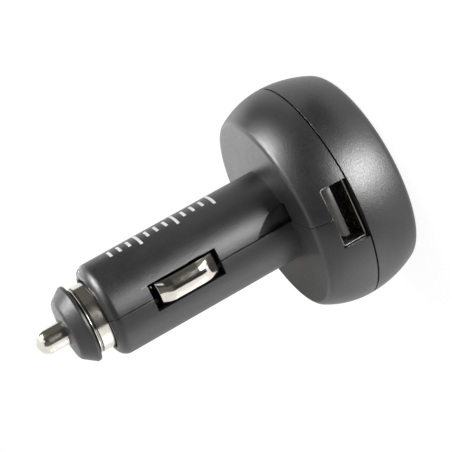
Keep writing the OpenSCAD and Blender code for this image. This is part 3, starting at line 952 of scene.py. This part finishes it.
def make_lens():
    ease = 0.15
    top, low = lens_high.z, lens_low.z
    profile = [(0, low), (lens_r - ease, low), (lens_r, low + ease), (lens_r, top - ease),
               (lens_r - ease, top), (0, top)]
    piece = finish_mesh(lathe(profile, steps=160), "window_lens")
    dress(piece, "smoked_window", "housing", "display_lens")


# Fuse spring
def make_spring():
    """Round wire, wound evenly between the ends of the CAD spring."""
    turns, wire_r, mean_r = 5.5, 0.3, 2.1
    low, high = spring_low.z + wire_r, spring_high.z - wire_r
    steps, sides = 220, 14
    loops = []
    for i in range(steps + 1):
        turn = 2 * pi * turns * i / steps
        section = arc((mean_r, low + (high - low) * i / steps), wire_r, 0, 360, sides)[:-1]
        loops.append([(r * cos(turn), r * sin(turn), z) for r, z in section])
    work = bmesh.new()
    tube(work, loops)
    piece = finish_mesh(work, "spring_wire", 60)
    dress(piece, "spring_steel", "housing", "fuse_spring")
    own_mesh(piece)


# Plain scale marks where the barrel is printed
def make_marks():
    """A ruler of short and long marks, sunk a little into the barrel; angles in degrees."""
    lift, sink, half_t = 0.02, 0.05, 0.33
    first_z, pitch, count, long_every = 34.0, 2.2, 12, 4
    middle, half_long, half_short = 82, 15, 8
    steps = 10
    work = bmesh.new()
    for i in range(count):
        low, high = first_z + i * pitch - half_t, first_z + i * pitch + half_t
        section = [(barrel_r - sink, low), (barrel_r + lift, low), (barrel_r + lift, high),
                   (barrel_r - sink, high)]
        half = half_short if i % long_every else half_long
        turns = [radians(middle + half * (2 * k / steps - 1)) for k in range(steps + 1)]
        tube(work, [[(r * cos(t), r * sin(t), z) for r, z in section] for t in turns])
    piece = finish_mesh(work, "scale_marks", 30)
    dress(piece, "print_white", "housing")


# CAD nodes that keep their own shape
def dress_frame():
    for part in frame["record"]["subparts"]:
        mesh = nodes[part["node"]].data
        mesh.materials.clear()
        mesh.materials.append(MATERIALS[part["material_slot"]])


# Floor, light and camera
def empty_material(piece, name):
    """A material without nodes on a stage piece."""
    material = bpy.data.materials.new(name)
    piece.data.materials.append(material)
    return Nodes(material)


def make_floor():
    """A pale floor that mostly glows to the camera and in mirrors, and is clear from below.

    It lies a hair under the part, whose display face is at zero.
    """
    half, z = 2.5, -0.00005
    glow_share, brightness, paint_tone = 0.85, 1.09, 0.8
    work = bmesh.new()
    corners = ((-half, -half, z), (half, -half, z), (half, half, z), (-half, half, z))
    work.faces.new([work.verts.new(corner) for corner in corners])
    floor = plain_object(work, "floor")
    look = empty_material(floor, "pale_floor")
    share = look.total(look.seen_by("Camera", "Glossy"), glow_share, "MULTIPLY")
    paint = look.add("ShaderNodeBsdfDiffuse")
    paint.inputs["Color"].default_value = (paint_tone, paint_tone, paint_tone, 1)
    glow = look.glow("ShaderNodeEmission", (1, 1, 1), brightness)
    clear = look.add("ShaderNodeBsdfTransparent")
    back = look.add("ShaderNodeNewGeometry").outputs["Backfacing"]
    top = look.mixed(share, paint.outputs[0], glow)
    look.end("ShaderNodeOutputMaterial", look.mixed(back, top, clear.outputs[0]))
    floor.visible_shadow = False


def make_world():
    """A sky that is white where it is seen and softer where it only lights."""
    soft_light, seen_light = 0.6, 1.0
    world = bpy.data.worlds.new("studio")
    bpy.context.scene.world = world
    look = Nodes(world)
    seen = look.seen_by("Camera", "Glossy", "Transmission")
    soft = look.glow("ShaderNodeBackground", (1, 1, 1), soft_light)
    white = look.glow("ShaderNodeBackground", (1, 1, 1), seen_light)
    look.end("ShaderNodeOutputWorld", look.mixed(seen, soft, white))


def make_lamp(name, direction, distance, size, radiance, kind="both"):
    """A softbox that faces the middle of the part, of a given radiance at its face.

    The kind says whether it gives only sheen, only diffuse light, or both.
    """
    target = Vector((0, 0, 0.03))
    toward = Vector(direction).normalized()
    data = bpy.data.lights.new(name, "AREA")
    data.shape = "RECTANGLE"
    data.size = size[0]
    data.size_y = size[1]
    data.energy = radiance * pi * size[0] * size[1]
    data.cycles.use_multiple_importance_sampling = False
    lamp = bpy.data.objects.new(name, data)
    bpy.context.scene.collection.objects.link(lamp)
    lamp.location = target + toward * distance
    lamp.rotation_mode = "QUATERNION"
    lamp.rotation_quaternion = toward.to_track_quat("Z", "Y")
    lamp.visible_camera = False
    lamp.visible_diffuse = kind != "sheen"
    lamp.visible_glossy = kind != "diffuse"


def make_cloth(name, turn, near, far, shade):
    """A warm grey or black cloth beside the part, which only shows in what the part mirrors.

    It runs between two angles, from one (radius, height) to another.
    """
    steps = 24
    work = bmesh.new()
    rows = []
    for i in range(steps + 1):
        angle = radians(turn[0] + (turn[1] - turn[0]) * i / steps)
        rows.append([work.verts.new((r * cos(angle) * MM, r * sin(angle) * MM, z * MM))
                     for r, z in (near, far)])
    for here, there in zip(rows, rows[1:]):
        skin(work, here, there, closed=False)
    cloth = plain_object(work, name)
    look = empty_material(cloth, name)
    glow = look.glow("ShaderNodeEmission", (shade, shade * 0.96, shade * 0.88))
    look.end("ShaderNodeOutputMaterial", glow)
    cloth.visible_camera = False
    cloth.visible_diffuse = False
    cloth.visible_shadow = False


def make_camera():
    """The camera as it was fitted to the photo, by its place and the picture's two directions."""
    data = bpy.data.cameras.new("photo_camera")
    data.sensor_width = 36
    data.lens = 143.18
    data.clip_start = 0.01
    data.clip_end = 20
    camera = bpy.data.objects.new("photo_camera", data)
    bpy.context.scene.collection.objects.link(camera)
    place = Vector((0.352825, 0.107869, 0.122589))
    right = Vector((0.33735, -0.40968, -0.84756))
    up = Vector((-0.13772, 0.86917, -0.47494))
    back = right.cross(up).normalized()
    up = back.cross(right).normalized()
    turn = Matrix((right, up, back)).transposed()
    camera.matrix_world = Matrix.Translation(place) @ turn.to_4x4()
    bpy.context.scene.camera = camera


make_front_cap()
make_rear_shell("rear_moulding_upper", 1, "upper_shell")
make_rear_shell("rear_moulding_lower", -1, "lower_shell")
make_collar()
make_nose_cap()
make_centre_pin()
make_contact("contact_sheet_right", 0, "right_leaf", "right_contact")
make_contact("contact_sheet_left", pi, "left_leaf", "left_contact")
make_usb_shield()
make_usb_insert()
make_digits()
make_lens()
make_spring()
make_marks()
dress_frame()
make_floor()
make_world()
make_lamp("key", (0.805, 0.183, -0.563), 0.6, (0.28, 0.385), radiance=26, kind="sheen")
make_lamp("side", (-0.08, 0.77, 0.62), 0.6, (0.25, 0.28), radiance=31, kind="sheen")
make_lamp("table", (0.16, -0.98, -0.12), 0.8, (0.6, 0.6), radiance=0.9)
make_lamp("fill", (-0.2, 0.5, 0.6), 0.8, (0.9, 0.6), radiance=2.5, kind="diffuse")
make_lamp("back", (-0.95, 0.15, 0.3), 0.7, (0.6, 0.5), radiance=1.45, kind="sheen")
make_cloth("cloth_front_low", (-27, 2), (170, 0.5), (170, 40), shade=0.03)
make_cloth("cloth_front_floor", (-27, 2), (50, 0.5), (170, 0.5), shade=0.03)
make_cloth("cloth_front_high", (-27, 8), (170, 40), (170, 90), shade=0.06)
make_cloth("cloth_front_top", (-28, 8), (170, 90), (170, 320), shade=0.14)
make_cloth("cloth_middle_floor", (2, 80), (31, 0.5), (170, 0.5), shade=0.22)
make_cloth("cloth_middle_low", (2, 60), (170, 0.5), (170, 40), shade=0.08)
make_cloth("cloth_middle_high", (8, 60), (170, 40), (170, 200), shade=0.05)
make_cloth("cloth_middle_top", (8, 24), (170, 200), (170, 330), shade=0.05)
make_cloth("cloth_far", (60, 140), (170, 0.5), (170, 200), shade=0.11)
make_cloth("cloth_under", (200, 235), (40, 23.5), (40, 60), shade=0.2)
make_camera()
bpy.context.scene.view_settings.view_transform = "Standard"
